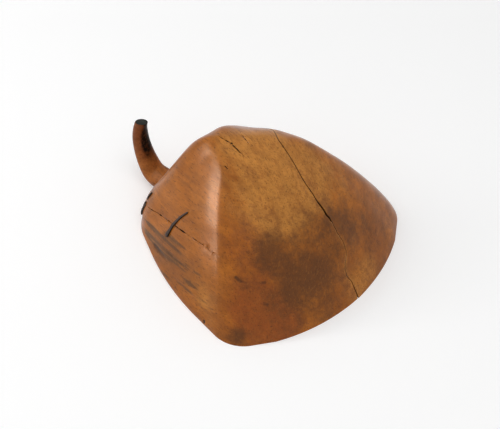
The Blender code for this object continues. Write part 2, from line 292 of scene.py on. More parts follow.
def uneven(bm):
    skin = bm.verts.layers.float["skin"]
    outside = [v for v in bm.verts if v[skin] > 0.5 and v.co.z > 2 * EDGE_ROUNDING]
    for _ in range(SMOOTHINGS):
        bmesh.ops.smooth_vert(bm, verts=outside, factor=SMOOTHING_STRENGTH,
                              use_axis_x=True, use_axis_y=True, use_axis_z=True)
    bm.normal_update()
    moved = []
    for vert in bm.verts:
        if vert[skin] < 0.5 or vert.co.z < EDGE_ROUNDING:
            continue
        facet = noise.noise(vert.co / FACET_WIDTH) - 1
        ripple = noise.noise(vert.co / RIPPLE_WIDTH) - 1
        tool_marks = (facet * FACET_DEPTH + ripple * RIPPLE_DEPTH) / 2
        fade = min(1, (vert.co.z - EDGE_ROUNDING) / RIM_FADE)
        moved.append((vert, vert.normal * fade * (swell_at(vert.co) + tool_marks)))
    for vert, move in moved:
        vert.co += move
    return len(moved)


print("points moved by hand work:", uneven(shell))

# %% [markdown]
# ## Cracks and dents
# Old wood shrinks and splits along its grain. A crack could be a dark line in the finish, but then
# it would look drawn on from the side. So it is carved: the faces near its line are divided until
# they are finer than the crack, and the points close to the line are pushed into the wood. Each
# point also keeps how dark it is made, for the finish to read later: dirt in dents and scrapes, and
# dirt with painted shade down in the cracks.

# %% Find the surface and make it finer
def surface_of(bm):
    bm.normal_update()
    return BVHTree.FromBMesh(bm)


def on_surface(tree, points, steps):
    """Points spread along a line, each moved to the nearest place on the surface."""
    line = []
    for a, b in zip(points, points[1:]):
        for i in range(steps):
            line.append(tree.find_nearest(a.lerp(b, i / steps))[0])
    line.append(tree.find_nearest(points[-1])[0])
    return line


def nearness(points):
    tree = kdtree.KDTree(len(points))
    for i, point in enumerate(points):
        tree.insert(point, i)
    tree.balance()
    return tree


MOST_DIVISIONS = 5


def divide(bm, is_close, finest, rounds):
    """Halves the long edges of the outside that lie close to a line, round after round."""
    skin = bm.verts.layers.float["skin"]
    for _ in range(rounds):
        long_edges = []
        for edge in bm.edges:
            a, b = edge.verts
            if a[skin] > 0.5 and b[skin] > 0.5 and edge.calc_length() > finest:
                if is_close(a.co) and is_close(b.co):
                    long_edges.append(edge)
        if not long_edges:
            break
        bmesh.ops.subdivide_edges(bm, edges=long_edges, cuts=1, use_grid_fill=True)


print("divisions at most:", MOST_DIVISIONS)

# %% Carve a line into the surface
LINE_STEPS = 24
END_DEPTH, END_SLOPE = 0.2, 5
MEAN_WIDTH, WOBBLE, WOBBLE_LENGTH = 0.8, 0.6, 4
NARROWEST = 0.4
STEEPNESS = 1.6
GRIME_AND_SHADE_SPREAD, GRIME_AND_SHADE_STRENGTH = 1.9, 1.4


def carve(bm, points, width, depth, grime_and_shade, finest):
    """Pushes a groove into the outside along a line. Its ends fade, and its width wobbles."""
    line = on_surface(surface_of(bm), points, LINE_STEPS)
    near = nearness(line)
    reach = width * 2 + finest
    divide(bm, lambda place: near.find(place)[2] < reach, finest, MOST_DIVISIONS)
    bm.normal_update()
    skin = bm.verts.layers.float["skin"]
    layer = bm.verts.layers.float["grime_and_shade"]
    for vert in bm.verts:
        if vert[skin] < 0.5:
            continue
        _, index, distance = near.find(vert.co)
        if distance > width * 2:
            continue
        along = index / (len(line) - 1)
        ends = min(1, END_SLOPE * min(along, 1 - along) + END_DEPTH)
        wobble = MEAN_WIDTH + WOBBLE * noise.noise(line[index] / (WOBBLE_LENGTH * width))
        half = width / 2 * max(ends, NARROWEST) * wobble
        vert.co -= vert.normal * depth * min(1, STEEPNESS * max(0, 1 - distance / half)) * ends
        # This darkening round the groove is dirt in dents and scrapes, and painted shade in the recess of a
        # crack.
        soft = max(0, 1 - distance / (half * GRIME_AND_SHADE_SPREAD))
        vert[layer] = max(vert[layer], grime_and_shade * ends * min(1, soft * GRIME_AND_SHADE_STRENGTH) * min(1, wobble))


# %% The cracks
CRACK_FINENESS = 0.45 * MM
# Each line: points on it, its width and its depth, all in mm, and how dark it is made, up to 1:
# its dirt, and in a crack painted shade too.
CRACKS = {
    "side crack": ([(-160, -54.5, 19.5), (-135.5, -64.5, 34), (-114.4, -69.8, 42.3), (-95.4, -73.6, 48.1),
                    (-86, -75.1, 51)], 1.1, 3.0, 1.0),
    "side crack's end": ([(-91, -74.3, 49.4), (-78.1, -75.9, 52.9), (-61.9, -77.4, 56.3),
                          (-38.4, -78.1, 58.5)], 0.8, 0.8, 0.6),
    "heel crack": ([(-121, -2.6, 97.5), (-111.8, -2, 98.4), (-104, -1.2, 98.2), (-94, -2.8, 97.6),
                    (-83, -4.3, 96.5)], 0.9, 1.8, 0.9),
    "heel check": ([(-108, 14, 96), (-99, 11.5, 97), (-91, 9, 97)], 0.7, 0.8, 0.7),
    "heel dash": ([(-91.4, -23.2, 96.2), (-85.9, -23.9, 95.6)], 0.9, 1.2, 0.8),
}


def carve_all(lines, finest):
    for name, (points, width, depth, grime_and_shade) in lines.items():
        carve(shell, [spot(*p) for p in points], width * MM, depth * MM, grime_and_shade, finest)
        print(name, "carved; points now", len(shell.verts))


shell.verts.layers.float.new("grime_and_shade")
carve_all(CRACKS, CRACK_FINENESS)

# %% [markdown]
# Dents and grimy scrapes are the same carving, only wider and shallower: a gouge on the front, a
# worm hole in the heel crack, a notch in the rim, and old scrapes along the grain of the near side.

# %% Dents and scrapes
DENT_FINENESS = 0.9 * MM
DENTS = {
    "gouge": ([(-26.3, -81, 50.8), (-19.3, -79.7, 47.4), (-12.3, -74.7, 44.8)], 4.0, 0.25, 0.62),
    "gouge's end": ([(-11.8, -71.5, 46.4), (-6.8, -68.1, 44.2), (-2.9, -62.2, 44.1)], 3.4, 0.2, 0.52),
    "front mark": ([(1.9, -74.9, 31.1), (7.5, -70.9, 28.1)], 4.0, 0.4, 0.45),
    "heel hole": ([(-105, -1, 98.2), (-103, -1.2, 98.2)], 2.2, 2.5, 1.0),
    "rim notch": ([(-37.5, -108, 3), (-35, -108.9, 4)], 3.0, 1.2, 0.9),
    "low scrape": ([(-131, -78.2, 10.4), (-115, -84, 13.5), (-99.7, -88.9, 16.1)], 5.0, 0.25, 0.50),
    "long scrape": ([(-109, -82.9, 21.4), (-88, -87.3, 26), (-68, -91.1, 30.2)], 4.0, 0.25, 0.46),
    "rim scrape": ([(-90.6, -94.6, 10.3), (-70, -98.3, 13.5), (-50.5, -101, 16.3)], 4.5, 0.25, 0.46),
}
carve_all(DENTS, DENT_FINENESS)

# %% [markdown]
# ## Where the wood is stained
# Hands, oil and damp have coloured the scoop unevenly: dark brown low on its front, bare tan near
# the heel, red-brown by the near corner, and dark streaks along the grain of the near side. The tan
# on the heel's top is also painted light, which brightens the top. The stains could be painted on by
# hand. Here soft round patches, added together, give each point of the mesh an amount of each
# stain, and the finish mixes its colours by those amounts.

# %% Paint the stains
# Each patch: its middle and its radius in mm, and its strength.
STAINS = {
    "dark": [((-15, -47, 61), 20, 0.75), ((8, -35, 43), 24, 0.7), ((17, -5, 38), 22, 0.5),
             ((-8, 0, 62), 17, 0.4), ((0, 21, 55), 17, 0.8), ((12, 36, 42), 22, 0.4),
             ((30, -32, 17), 22, 0.5), ((-1, -103, 8), 9, 1.0), ((20, 60, 20), 28, 0.3),
             ((-13, -76, 45), 9, 0.4), ((-114, -76.3, 30.7), 8, 0.7), ((-159, -45.4, 27.5), 9, 0.6),
             ((14, -55, 28), 18, 0.5)],
    "red": [((-7, -69, 43), 20, 0.6), ((-2, -86, 27), 22, 0.8), ((10, -82, 17), 22, 0.8),
            ((20, -68, 13), 20, 0.8), ((37, -3, 11), 20, 0.3), ((27, 45, 16), 22, 0.3),
            ((-33, -60, 69), 22, 0.5)],
    # The tan patches high on the heel are bare wood, and also painted light that brightens the heel's top.
    "tan": [((-76, 19, 94), 28, 0.9), ((-51, -9, 89), 28, 1.0), ((-31, -23, 78), 24, 1.0),
            ((-49, 29, 86), 24, 0.8), ((-27, 8, 78), 22, 0.9), ((-31, 48, 72), 24, 0.4),
            ((39, 8, 8), 15, 0.7), ((-98, 6, 97), 20, 1.0), ((33, 32, 13), 14, 0.6),
            ((-43, -101, 19), 14, 0.5)],
    "streak": [((-128, -78, 14), 17, 0.9), ((-104, -86, 16), 18, 1.0), ((-84, -88, 26), 18, 1.0),
               ((-62, -95, 22), 14, 0.8), ((-140, -70, 14), 14, 0.7), ((-34, -105, 10), 12, 0.5),
               ((-108, -78, 32), 14, 0.6)],
}


def paint(bm):
    for name, patches in STAINS.items():
        layer = bm.verts.layers.float.new(name)
        for vert in bm.verts:
            total = 0
            for centre, radius, strength in patches:
                away = (vert.co - spot(*centre)).length / (radius * MM)
                total += strength * math.exp(-away ** 2)
            vert[layer] = min(1, total)


paint(shell)
print("stains painted:", ", ".join(STAINS))

# %% [markdown]
# ## The long split
# The bowl broke along its grain, from the lip to the back wall, and was glued again. A carved groove
# would only look like a split. So the shell is cut by a plane along the grain and each half is
# closed. Then the two cut edges wander, as a real split does, and part by a width that changes along
# its length: open, tight, then open at the lip.

# %% The split's path
GRAIN_ANGLE = math.radians(-14.4)
SPLIT_OFFSET = 15.0
# How far the split strays from its plane, and how far it is open, at some places along X, in mm.
WANDER = [(-175, 0.0), (-125, 1.5), (-98, 3.3), (-76, -2.2), (-59, -2.6), (-36, -3.6), (-22, -2.1),
          (-8, 0.4), (-4, 2.0), (5, 2.7), (13, 4.7), (17, 4.5), (28, -2.7), (30, -3.0), (35, -0.2),
          (43, 1.1)]
OPENING = [(-175, 0.45), (-97, 0.45), (-76, 0.7), (-59, 0.6), (-35, 0.7), (-22, 0.9), (-15, 1.6),
           (-7, 1.7), (-3, 1.2), (0, 0.8), (13, 0.7), (18, 0.3), (28, 0.25), (31, 0.5), (43, 0.9)]
split_point = spot(0, SPLIT_OFFSET)
split_across = Vector((-math.sin(GRAIN_ANGLE), math.cos(GRAIN_ANGLE), 0))


def ramp(value, start, end):
    """0 at start, 1 at end, straight between and level beyond."""
    return min(1, max(0, (value - start) / (end - start)))


def read_off(pairs, x):
    """The value at x on a line drawn through pairs, smoothed at each pair."""
    for (x0, y0), (x1, y1) in zip(pairs, pairs[1:]):
        if x <= x1:
            t = ramp(x, x0, x1)
            return y0 + (y1 - y0) * t * t * (3 - 2 * t)
    return pairs[-1][1]


print("widest opening:", max(wide for _, wide in OPENING), "mm")

# %% Cut the shell and part its edges
SPLIT_REACH = 5 * MM
WANDER_REACH = 16 * MM
SPLIT_FINENESS = 0.8 * MM
SPLIT_DIVISIONS = 3
WORN_EDGE = 2 * MM
WORN_TAN = 0.6
# Painted shade: how dark the faces inside the split are made, where shade falls in the gap.
CUT_FACE_SHADE = 0.5


def by_the_split(place):
    return abs((place - split_point).dot(split_across)) < SPLIT_REACH


def cut_at(bm, offset, keep_far):
    """Cuts the shell by a plane along the grain, drops one side and closes the other."""
    everything = bm.verts[:] + bm.edges[:] + bm.faces[:]
    bmesh.ops.bisect_plane(bm, geom=everything, plane_co=split_point + split_across * offset,
                           plane_no=split_across, clear_inner=keep_far, clear_outer=not keep_far, dist=WELD)
    open_edges = [e for e in bm.edges if e.is_boundary]
    filled = bmesh.ops.triangle_fill(bm, edges=open_edges, use_beauty=True, use_dissolve=False)
    faces = [f for f in filled["geom"] if isinstance(f, bmesh.types.BMFace)]
    grime_and_shade = bm.verts.layers.float["grime_and_shade"]
    # The closing faces are darkened as painted shade inside the split.
    for face in faces:
        for vert in face.verts:
            vert[grime_and_shade] = CUT_FACE_SHADE
    bmesh.ops.recalc_face_normals(bm, faces=bm.faces)
    print("cut closed with", len(faces), "faces")


def part_edges(bm, side):
    """Moves the cut edge along its wandering path, and away from the split by half its opening."""
    tan = bm.verts.layers.float["tan"]
    moves = []
    for vert in bm.verts:
        across = (vert.co - split_point).dot(split_across)
        x = (vert.co.x - SHIFT) / MM
        wander = read_off(WANDER, x) * MM * math.exp(-(across / WANDER_REACH) ** 2)
        open_half = read_off(OPENING, x) * MM / 2 * math.exp(-(across / SPLIT_REACH) ** 2)
        moves.append((vert, split_across * (wander + side * open_half)))
        vert[tan] = min(1, vert[tan] + WORN_TAN * math.exp(-(across / WORN_EDGE) ** 2))
    for vert, move in moves:
        vert.co += move


print("worn pale by the split:", WORN_EDGE / MM, "mm")

# %% [markdown]
# ## From bmesh to piece
# Every piece ends the same way: its mesh becomes an object at the origin, it rides on the frame's
# only body, it takes the place of the plain solid, and it is shaded smooth except at real edges.
# One function does all of that, so that no piece can miss a step.

# %% Finish a piece
SHARP_ANGLE = math.radians(50)


def mesh_of(name, bm):
    mesh = bpy.data.meshes.new(name)
    bm.to_mesh(mesh)
    bm.free()
    return mesh


def put(name, data):
    """A new object in the scene."""
    made = bpy.data.objects.new(name, data)
    bpy.context.scene.collection.objects.link(made)
    return made


def finish_piece(bm, name, node, material):
    mesh = mesh_of(name, bm)
    piece = put(name, mesh)
    mesh.polygons.foreach_set("use_smooth", [True] * len(mesh.polygons))
    mesh.set_sharp_from_angle(angle=SHARP_ANGLE)
    mesh.materials.append(material)
    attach(piece, "root")
    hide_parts(node)
    print(name, "has", len(mesh.polygons), "faces")
    return piece


print("edges over", round(math.degrees(SHARP_ANGLE)), "degrees stay sharp")

# %% [markdown]
# ## Waxed wood
# The wood is a dense, fine-pored hardwood, carved, then waxed by years of hands. Its fibres run
# along the bowl, so every pattern is stretched that way: pores show as dots where the front cuts
# across them and as dashes on the sides. A picture of wood could be wrapped round the bowl, but
# patterns made by nodes have no seam and follow the carving. Old wax lies over it as a thin coat.

# %% Colours and nodes
def linear(colour):
    """An sRGB hex colour as the linear values that a shader reads."""
    channels = [int(colour[i:i + 2], 16) / 255 for i in (0, 2, 4)]
    return [*(((c + 0.055) / 1.055) ** 2.4 if c > 0.04045 else c / 12.92 for c in channels), 1]


def add(tree, kind, inputs=None, **settings):
    """Adds one node, with its settings, and sets or links its inputs."""
    made = tree.nodes.new(kind)
    for name, value in settings.items():
        setattr(made, name, value)
    for name, value in (inputs or {}).items():
        socket = made.inputs[name]
        if isinstance(value, bpy.types.NodeSocket):
            tree.links.new(value, socket)
        else:
            socket.default_value = value
    return made


def new_material(name):
    material = bpy.data.materials.new(name)
    material.use_nodes = True
    material.node_tree.nodes.clear()
    return material, material.node_tree


print("middle grey in a shader:", round(linear("808080")[0], 2))

# %% The wood's grain
FACTOR, COLOUR_A, COLOUR_B, MIXED = 0, 6, 7, 2
GRAIN_RISE = math.radians(15)
HAIR_TURN = math.radians(48)
HAIR_SQUEEZE = (0.07, 1, 0.5)


def grain_places(tree):
    """Coordinates that follow the fibres, squeezed so that a pattern on them is drawn out that way."""
    place = add(tree, "ShaderNodeTexCoord").outputs["Object"]
    turned = add(tree, "ShaderNodeMapping", {"Vector": place, "Rotation": (0, 0, -GRAIN_ANGLE)}).outputs[0]
    fibre = add(tree, "ShaderNodeMapping", {"Vector": turned, "Rotation": (0, GRAIN_RISE, 0)}).outputs[0]
    places = {}
    for name, squeeze in (("drawn", 0.06), ("long", 0.035), ("dotted", 0.16), ("flowing", 0.45)):
        squeezed = {"Vector": fibre, "Scale": (squeeze, 1, 1)}
        places[name] = add(tree, "ShaderNodeMapping", squeezed).outputs[0]
    for name, turn in (("hair", HAIR_TURN), ("scratch", -HAIR_TURN)):
        across = add(tree, "ShaderNodeMapping", {"Vector": turned, "Rotation": (0, 0, turn)}).outputs[0]
        squeezed = {"Vector": across, "Scale": HAIR_SQUEEZE}
        places[name] = add(tree, "ShaderNodeMapping", squeezed).outputs[0]
    return places


print("fibres rise by", round(math.degrees(GRAIN_RISE)), "degrees")

# %% How much of each colour shows
# Each pattern: its coordinates, its width in mm, detail, roughness, and where it begins and ends.
# Pores and hair scratches are finer than this on the real wood, and wouldn't show in the picture.
PATTERNS = {
    "clouds": ("flowing", 26, 6.0, 0.65, 0.36, 0.64),
    "bands": ("drawn", 12, 3.0, 0.5, 0.45, 0.66),
    "figure": ("drawn", 3.2, 6.0, 0.65, 0.46, 0.68),
    "ragged": ("flowing", 15, 8.0, 0.72, 0.25, 0.75),
    "mottle": ("flowing", 8, 8.0, 0.72, 0.3, 0.7),
    "lines": ("long", 4.5, 2.0, 0.5, 0.45, 0.75),
    "hair": ("hair", 1.0, 2.0, 0.5, 0.55, 0.70),
    "scratch": ("scratch", 0.9, 2.0, 0.5, 0.56, 0.72),
    "pores": ("dotted", 1.0, 1.5, 0.5, 0.60, 0.70),
}
# Each stain: the pattern that makes it ragged, and where it begins and ends.
STAIN_EDGES = {"tan": ("ragged", 0.35, 1.35), "red": ("ragged", 0.35, 1.35), "dark": ("ragged", 0.4, 1.4),
               "streak": ("lines", 0.75, 1.5), "grime_and_shade": (None, 0.2, 0.75)}
RAGGEDNESS = 0.85


def grain_masks(tree, amounts):
    """A value from 0 to its amount for every pattern and every stain."""
    places = grain_places(tree)
    masks = {}
    for pattern, (place, width, detail, rough, low, high) in PATTERNS.items():
        sizes = {"Vector": places[place], "Scale": 1 / (width * MM), "Detail": detail, "Roughness": rough}
        spots = add(tree, "ShaderNodeTexNoise", sizes).outputs["Fac"]
        ends = {"Value": spots, "From Min": low, "From Max": high, "To Max": amounts.get(pattern, 1.0)}
        shown = add(tree, "ShaderNodeMapRange", ends, interpolation_type="SMOOTHSTEP")
        masks[pattern] = shown.outputs["Result"]
    for stain, (pattern, low, high) in STAIN_EDGES.items():
        amount = add(tree, "ShaderNodeAttribute", attribute_name=stain).outputs["Fac"]
        if pattern:
            ragged = {0: masks[pattern], 1: RAGGEDNESS, 2: amount}
            amount = add(tree, "ShaderNodeMath", ragged, operation="MULTIPLY_ADD").outputs[0]
        ends = {"Value": amount, "From Min": low, "From Max": high, "To Max": amounts.get(stain, 1.0)}
        shown = add(tree, "ShaderNodeMapRange", ends, interpolation_type="SMOOTHSTEP")
        masks[stain] = shown.outputs["Result"]
    return masks


print("patterns:", len(PATTERNS), "and stains:", len(STAIN_EDGES))

# %% The bowl's wood
LAYERS = ("clouds", "tan", "red", "bands", "dark", "streak", "figure",
          "hair", "scratch", "pores", "grime_and_shade")
MOTTLE_LOW, MOTTLE_HIGH = 0.86, 1.14
PORE_RELIEF, GRAIN_RELIEF = 0.8, 0.3
MOTTLE_SHINE, GRIME_AND_SHADE_DULLNESS = -0.1, 0.3
# A thin coat of wax gives the eye a satin glint, and a little sheen gives the pale edge of old wax.
WAXED = {"IOR": 1.5, "Specular IOR Level": 0.05, "Coat Roughness": 0.20, "Coat IOR": 1.5,
         "Sheen Weight": 0.25, "Sheen Roughness": 0.25}


def wood(name, colours, amounts, shine, wax):
    material, tree = new_material(name)
    masks = grain_masks(tree, amounts)
    colour = linear(colours["light"])
    for layer in LAYERS:
        parts = {FACTOR: masks[layer], COLOUR_A: colour, COLOUR_B: linear(colours[layer])}
        colour = add(tree, "ShaderNodeMix", parts, data_type="RGBA").outputs[MIXED]
    ends = {"Value": masks["mottle"], "To Min": MOTTLE_LOW, "To Max": MOTTLE_HIGH}
    parts = {FACTOR: 1.0, COLOUR_A: colour, COLOUR_B: add(tree, "ShaderNodeMapRange", ends).outputs[0]}
    colour = add(tree, "ShaderNodeMix", parts, data_type="RGBA", blend_type="MULTIPLY").outputs[MIXED]
    relief = add(tree, "ShaderNodeMath", {0: masks["pores"], 1: PORE_RELIEF, 2: masks["figure"]},
                 operation="MULTIPLY_ADD").outputs[0]
    heights = {"Height": relief, "Strength": GRAIN_RELIEF, "Distance": 0.3 * MM}
    bump = add(tree, "ShaderNodeBump", heights, invert=True).outputs[0]
    dull = add(tree, "ShaderNodeMath", {0: masks["mottle"], 1: MOTTLE_SHINE, 2: shine},
               operation="MULTIPLY_ADD").outputs[0]
    rough = add(tree, "ShaderNodeMath", {0: masks["grime_and_shade"], 1: GRIME_AND_SHADE_DULLNESS, 2: dull},
                operation="MULTIPLY_ADD").outputs[0]
    surface = dict(WAXED, **{"Base Color": colour, "Roughness": rough, "Coat Weight": wax, "Normal": bump})
    shader = add(tree, "ShaderNodeBsdfPrincipled", surface)
    add(tree, "ShaderNodeOutputMaterial", {"Surface": shader.outputs[0]})
    return material


# The last, near-black colour is dirt in the marks, and painted shade in the cracks and in the split.
BOWL_COLOURS = {"light": "b0661a", "clouds": "985410", "tan": "c28238", "red": "8f4512",
                "bands": "7d420c", "dark": "5f3510", "streak": "543818", "figure": "7a420e",
                "hair": "b87834", "scratch": "683b10", "pores": "502c08", "grime_and_shade": "120b06"}
BOWL_AMOUNTS = {"tan": 0.85, "red": 0.8, "dark": 0.9, "streak": 0.85, "bands": 0.3, "figure": 0.4,
                "hair": 0.16, "scratch": 0.25, "pores": 0.6}
bowl_wood = wood("waxed_bowl_wood", BOWL_COLOURS, BOWL_AMOUNTS, 0.42, 0.35)
print("wood nodes:", len(bowl_wood.node_tree.nodes))

# %% The two sides of the bowl
divide(shell, by_the_split, SPLIT_FINENESS, SPLIT_DIVISIONS)
skin_tree = surface_of(shell)
far = shell.copy()
near = shell.copy()
glue_form = shell.copy()
shell.free()
cut_at(far, 0, keep_far=True)
cut_at(near, 0, keep_far=False)
part_edges(far, 1)
part_edges(near, -1)
finish_piece(far, "bowl_far_side_carved", "bowl_far_side", bowl_wood)
body = finish_piece(near, "bowl_body_carved", "bowl_body", bowl_wood)

# %% [markdown]
# ## The old glue
# Glue shows as a pale line where the split is nearly shut, and stays deep in the dark where it is
# open. It could be painted on, but then it would lie on top of the split. A thin slice of the same
# shell follows the split's wander instead, and its outer edge is sunk by a depth that changes.

# %% The glue line
GLUE_HALF = 0.2 * MM
GLUE_LOWEST = 1.5 * MM
# How far the glue is sunk below the outside at some places along X, and below the inside, in mm.
SUNK = [(-175, 3.0), (-67, 3.0), (-55, 1.2), (-31, 1.2), (-21, 3.5), (-5, 3.5), (-1, 0.4), (14, 0.3),
        (21, 0.6), (29, 1.0), (33, 3.0), (53, 3.0)]
SUNK_INSIDE = 0.6
cut_at(glue_form, -GLUE_HALF, keep_far=True)
cut_at(glue_form, GLUE_HALF, keep_far=False)
part_edges(glue_form, 0)
skin = glue_form.verts.layers.float["skin"]
for vert in glue_form.verts:
    outwards = skin_tree.find_nearest(vert.co)[1]
    depth = read_off(SUNK, (vert.co.x - SHIFT) / MM) if vert[skin] > 0.5 else SUNK_INSIDE
    vert.co -= outwards * depth * MM
    vert.co.z = max(vert.co.z, GLUE_LOWEST)
print("glue slice:", len(glue_form.verts), "points")

# %% The glue's finish
CRUMB_WIDTH = 2.5 * MM


def dry_glue(name):
    # Dry hide glue is pale, crumbled and dull to the eye. Its real crumbs are too fine to show.
    material, tree = new_material(name)
    place = add(tree, "ShaderNodeTexCoord").outputs["Object"]
    crumbs = add(tree, "ShaderNodeTexNoise", {"Vector": place, "Scale": 1 / CRUMB_WIDTH, "Detail": 4.0})
    ends = {"Value": crumbs.outputs["Fac"], "From Min": 0.35, "From Max": 0.65}
    shade = add(tree, "ShaderNodeMapRange", ends).outputs[0]
    parts = {FACTOR: shade, COLOUR_A: linear("a8622c"), COLOUR_B: linear("c98f5c")}
    mixed = add(tree, "ShaderNodeMix", parts, data_type="RGBA")
    bump = add(tree, "ShaderNodeBump", {"Height": shade, "Strength": 0.4, "Distance": 0.3 * MM})
    shader = add(tree, "ShaderNodeBsdfPrincipled", {"Base Color": mixed.outputs[MIXED], "Roughness": 0.75,
                                                    "IOR": 1.5, "Normal": bump.outputs[0]})
    add(tree, "ShaderNodeOutputMaterial", {"Surface": shader.outputs[0]})
    return material


finish_piece(glue_form, "old_glue_line", "glue_line", dry_glue("dry_hide_glue"))

# %% [markdown]
# ## The hook handle
# The handle leaves the back wall, turns at a knuckle and sweeps up in a long hook that thins to a
# flat cut end. A bevelled curve would be quicker, but rings of points let its foot follow the wall:
# rays are cast at the wall to shape it. A round tenon goes on through the wall.

# %% The handle's path
HANDLE_OFFSET = -18.5
HANDLE_HEIGHT = 12.7
HANDLE_RUN = 9.7
KNUCKLE_RADIUS = 12.8
KNUCKLE_ANGLE = math.radians(54)
HOOK_RADIUS = 59.5
HOOK_ANGLE = math.radians(107.5)
HANDLE_BASE_RADIUS = 12.0
HANDLE_TIP_RADIUS = 6.0
HANDLE_TAPER = 1.6
TENON_RADIUS = 7.5
FIT = 0.3
RUN_LEAD = 2
RUN_STEPS, KNUCKLE_STEPS, HOOK_STEPS = 6, 10, 34
TIP_CUT_NORMAL = Vector((-0.26, 0.20, 0.94)).normalized()
wall_x = -BOWL_LENGTH / MM


def hook_bend(start, angle, end_angle, radius, steps):
    centre = start + Vector((math.sin(angle), 0, math.cos(angle))) * radius
    turns = [angle + (end_angle - angle) * i / steps for i in range(1, steps + 1)]
    return [(centre - Vector((math.sin(a), 0, math.cos(a))) * radius, a) for a in turns]


run_start = Vector((wall_x - RUN_LEAD, HANDLE_OFFSET, HANDLE_HEIGHT))
run_end = Vector((wall_x - HANDLE_RUN, HANDLE_OFFSET, HANDLE_HEIGHT))
path = [(run_start.lerp(run_end, i / RUN_STEPS), 0.0) for i in range(RUN_STEPS + 1)]
path += hook_bend(run_end, 0, KNUCKLE_ANGLE, KNUCKLE_RADIUS, KNUCKLE_STEPS)
path += hook_bend(path[-1][0], KNUCKLE_ANGLE, HOOK_ANGLE, HOOK_RADIUS, HOOK_STEPS)
lengths = [2 * WALL / MM + RUN_LEAD]
for (a, _), (b, _) in zip(path, path[1:]):
    lengths.append(lengths[-1] + (b - a).length)
print("handle length along its middle:", round(lengths[-1]), "mm")

# %% The handle's rings
HANDLE_SIDES = 48
RAY_START = 60
FOOT_EDGE = 0.5
LUMP_WIDTH, LUMP_DEPTH = 14, 0.35


def ring_point(centre, angle, radius, column):
    turn = 2 * math.pi * column / HANDLE_SIDES
    inward = Vector((math.sin(angle), 0, math.cos(angle)))
    return centre + inward * (radius * math.cos(turn)) + Vector((0, radius * math.sin(turn), 0))


def wall_hit(point, towards):
    """The wall in front of a point in millimetres, looking along X."""
    origin = spot(point.x, point.y, point.z)
    hit = skin_tree.ray_cast(origin, Vector((towards, 0, 0)))[0]
    return Vector(((hit.x - SHIFT) / MM, point.y, point.z))


def handle_rows():
    rows = []
    foot = Vector((wall_x - RAY_START, HANDLE_OFFSET, HANDLE_HEIGHT))
    inside = Vector((wall_x + RAY_START, HANDLE_OFFSET, HANDLE_HEIGHT))
    end = [wall_hit(ring_point(inside, 0, TENON_RADIUS, c), -1) for c in range(HANDLE_SIDES)]
    rows.append([sum(end, Vector()) / HANDLE_SIDES] * HANDLE_SIDES)
    rows.append(end)
    back = Vector((FIT, 0, 0))
    for radius, gaps in ((TENON_RADIUS, 1), (HANDLE_BASE_RADIUS - FOOT_EDGE, 1), (HANDLE_BASE_RADIUS, 3)):
        rows.append([wall_hit(ring_point(foot, 0, radius, c), 1) - gaps * back for c in range(HANDLE_SIDES)])
    for (centre, angle), length in zip(path, lengths):
        share = length / lengths[-1]
        radius = HANDLE_BASE_RADIUS + (HANDLE_TIP_RADIUS - HANDLE_BASE_RADIUS) * share ** HANDLE_TAPER
        ring = []
        for c in range(HANDLE_SIDES):
            point = ring_point(centre, angle, radius, c)
            uneven_by = LUMP_DEPTH * (noise.noise(point / LUMP_WIDTH) - 1)
            ring.append(ring_point(centre, angle, radius + uneven_by, c))
        rows.append(ring)
    tip, angle = path[-1]
    onward = Vector((-math.cos(angle), 0, math.sin(angle)))
    rows.append([point + onward * 2 * HANDLE_TIP_RADIUS for point in rows[-1]])
    rows.append([tip + onward * 2 * HANDLE_TIP_RADIUS] * HANDLE_SIDES)
    return rows


rows = handle_rows()
print("handle rings:", len(rows))


# %% Wrap the handle and cut its end
def place_handle(column, row):
    return spot(*rows[row][column]), 1.0


TIP_ROUNDING = 0.35 * MM
handle_form = wrap_grid(HANDLE_SIDES, len(rows) - 1, place_handle)
tip_place = spot(*path[-1][0])
everything = handle_form.verts[:] + handle_form.edges[:] + handle_form.faces[:]
bmesh.ops.bisect_plane(handle_form, geom=everything, plane_co=tip_place, plane_no=TIP_CUT_NORMAL,
                       clear_outer=True)
tip_edges = [e for e in handle_form.edges if e.is_boundary]
bmesh.ops.contextual_create(handle_form, geom=tip_edges)
bmesh.ops.bevel(handle_form, geom=tip_edges, offset=TIP_ROUNDING, segments=3, profile=0.5, affect="EDGES",
                material=-1)
bmesh.ops.recalc_face_normals(handle_form, faces=handle_form.faces)
if handle_form.calc_volume(signed=True) < 0:
    bmesh.ops.reverse_faces(handle_form, faces=handle_form.faces)
print("handle:", len(handle_form.verts), "points, closed:", all(e.is_manifold for e in handle_form.edges))

# %% [markdown]
# ## The handle's patina and painted shade
# The handle is the same wood, darker and redder from handling. Its foot stays orange-brown, the
# inside of the hook, which faces away from the window, is painted nearly black as shade, and the
# cut end is grey-black. It could be painted by hand. Here the way that each point faces, and its
# height, give its stains and its painted shade.

# %% Stain the handle, paint shade on its inside and finish it
grime_and_shade = handle_form.verts.layers.float.new("grime_and_shade")
dark = handle_form.verts.layers.float.new("dark")
tan = handle_form.verts.layers.float.new("tan")
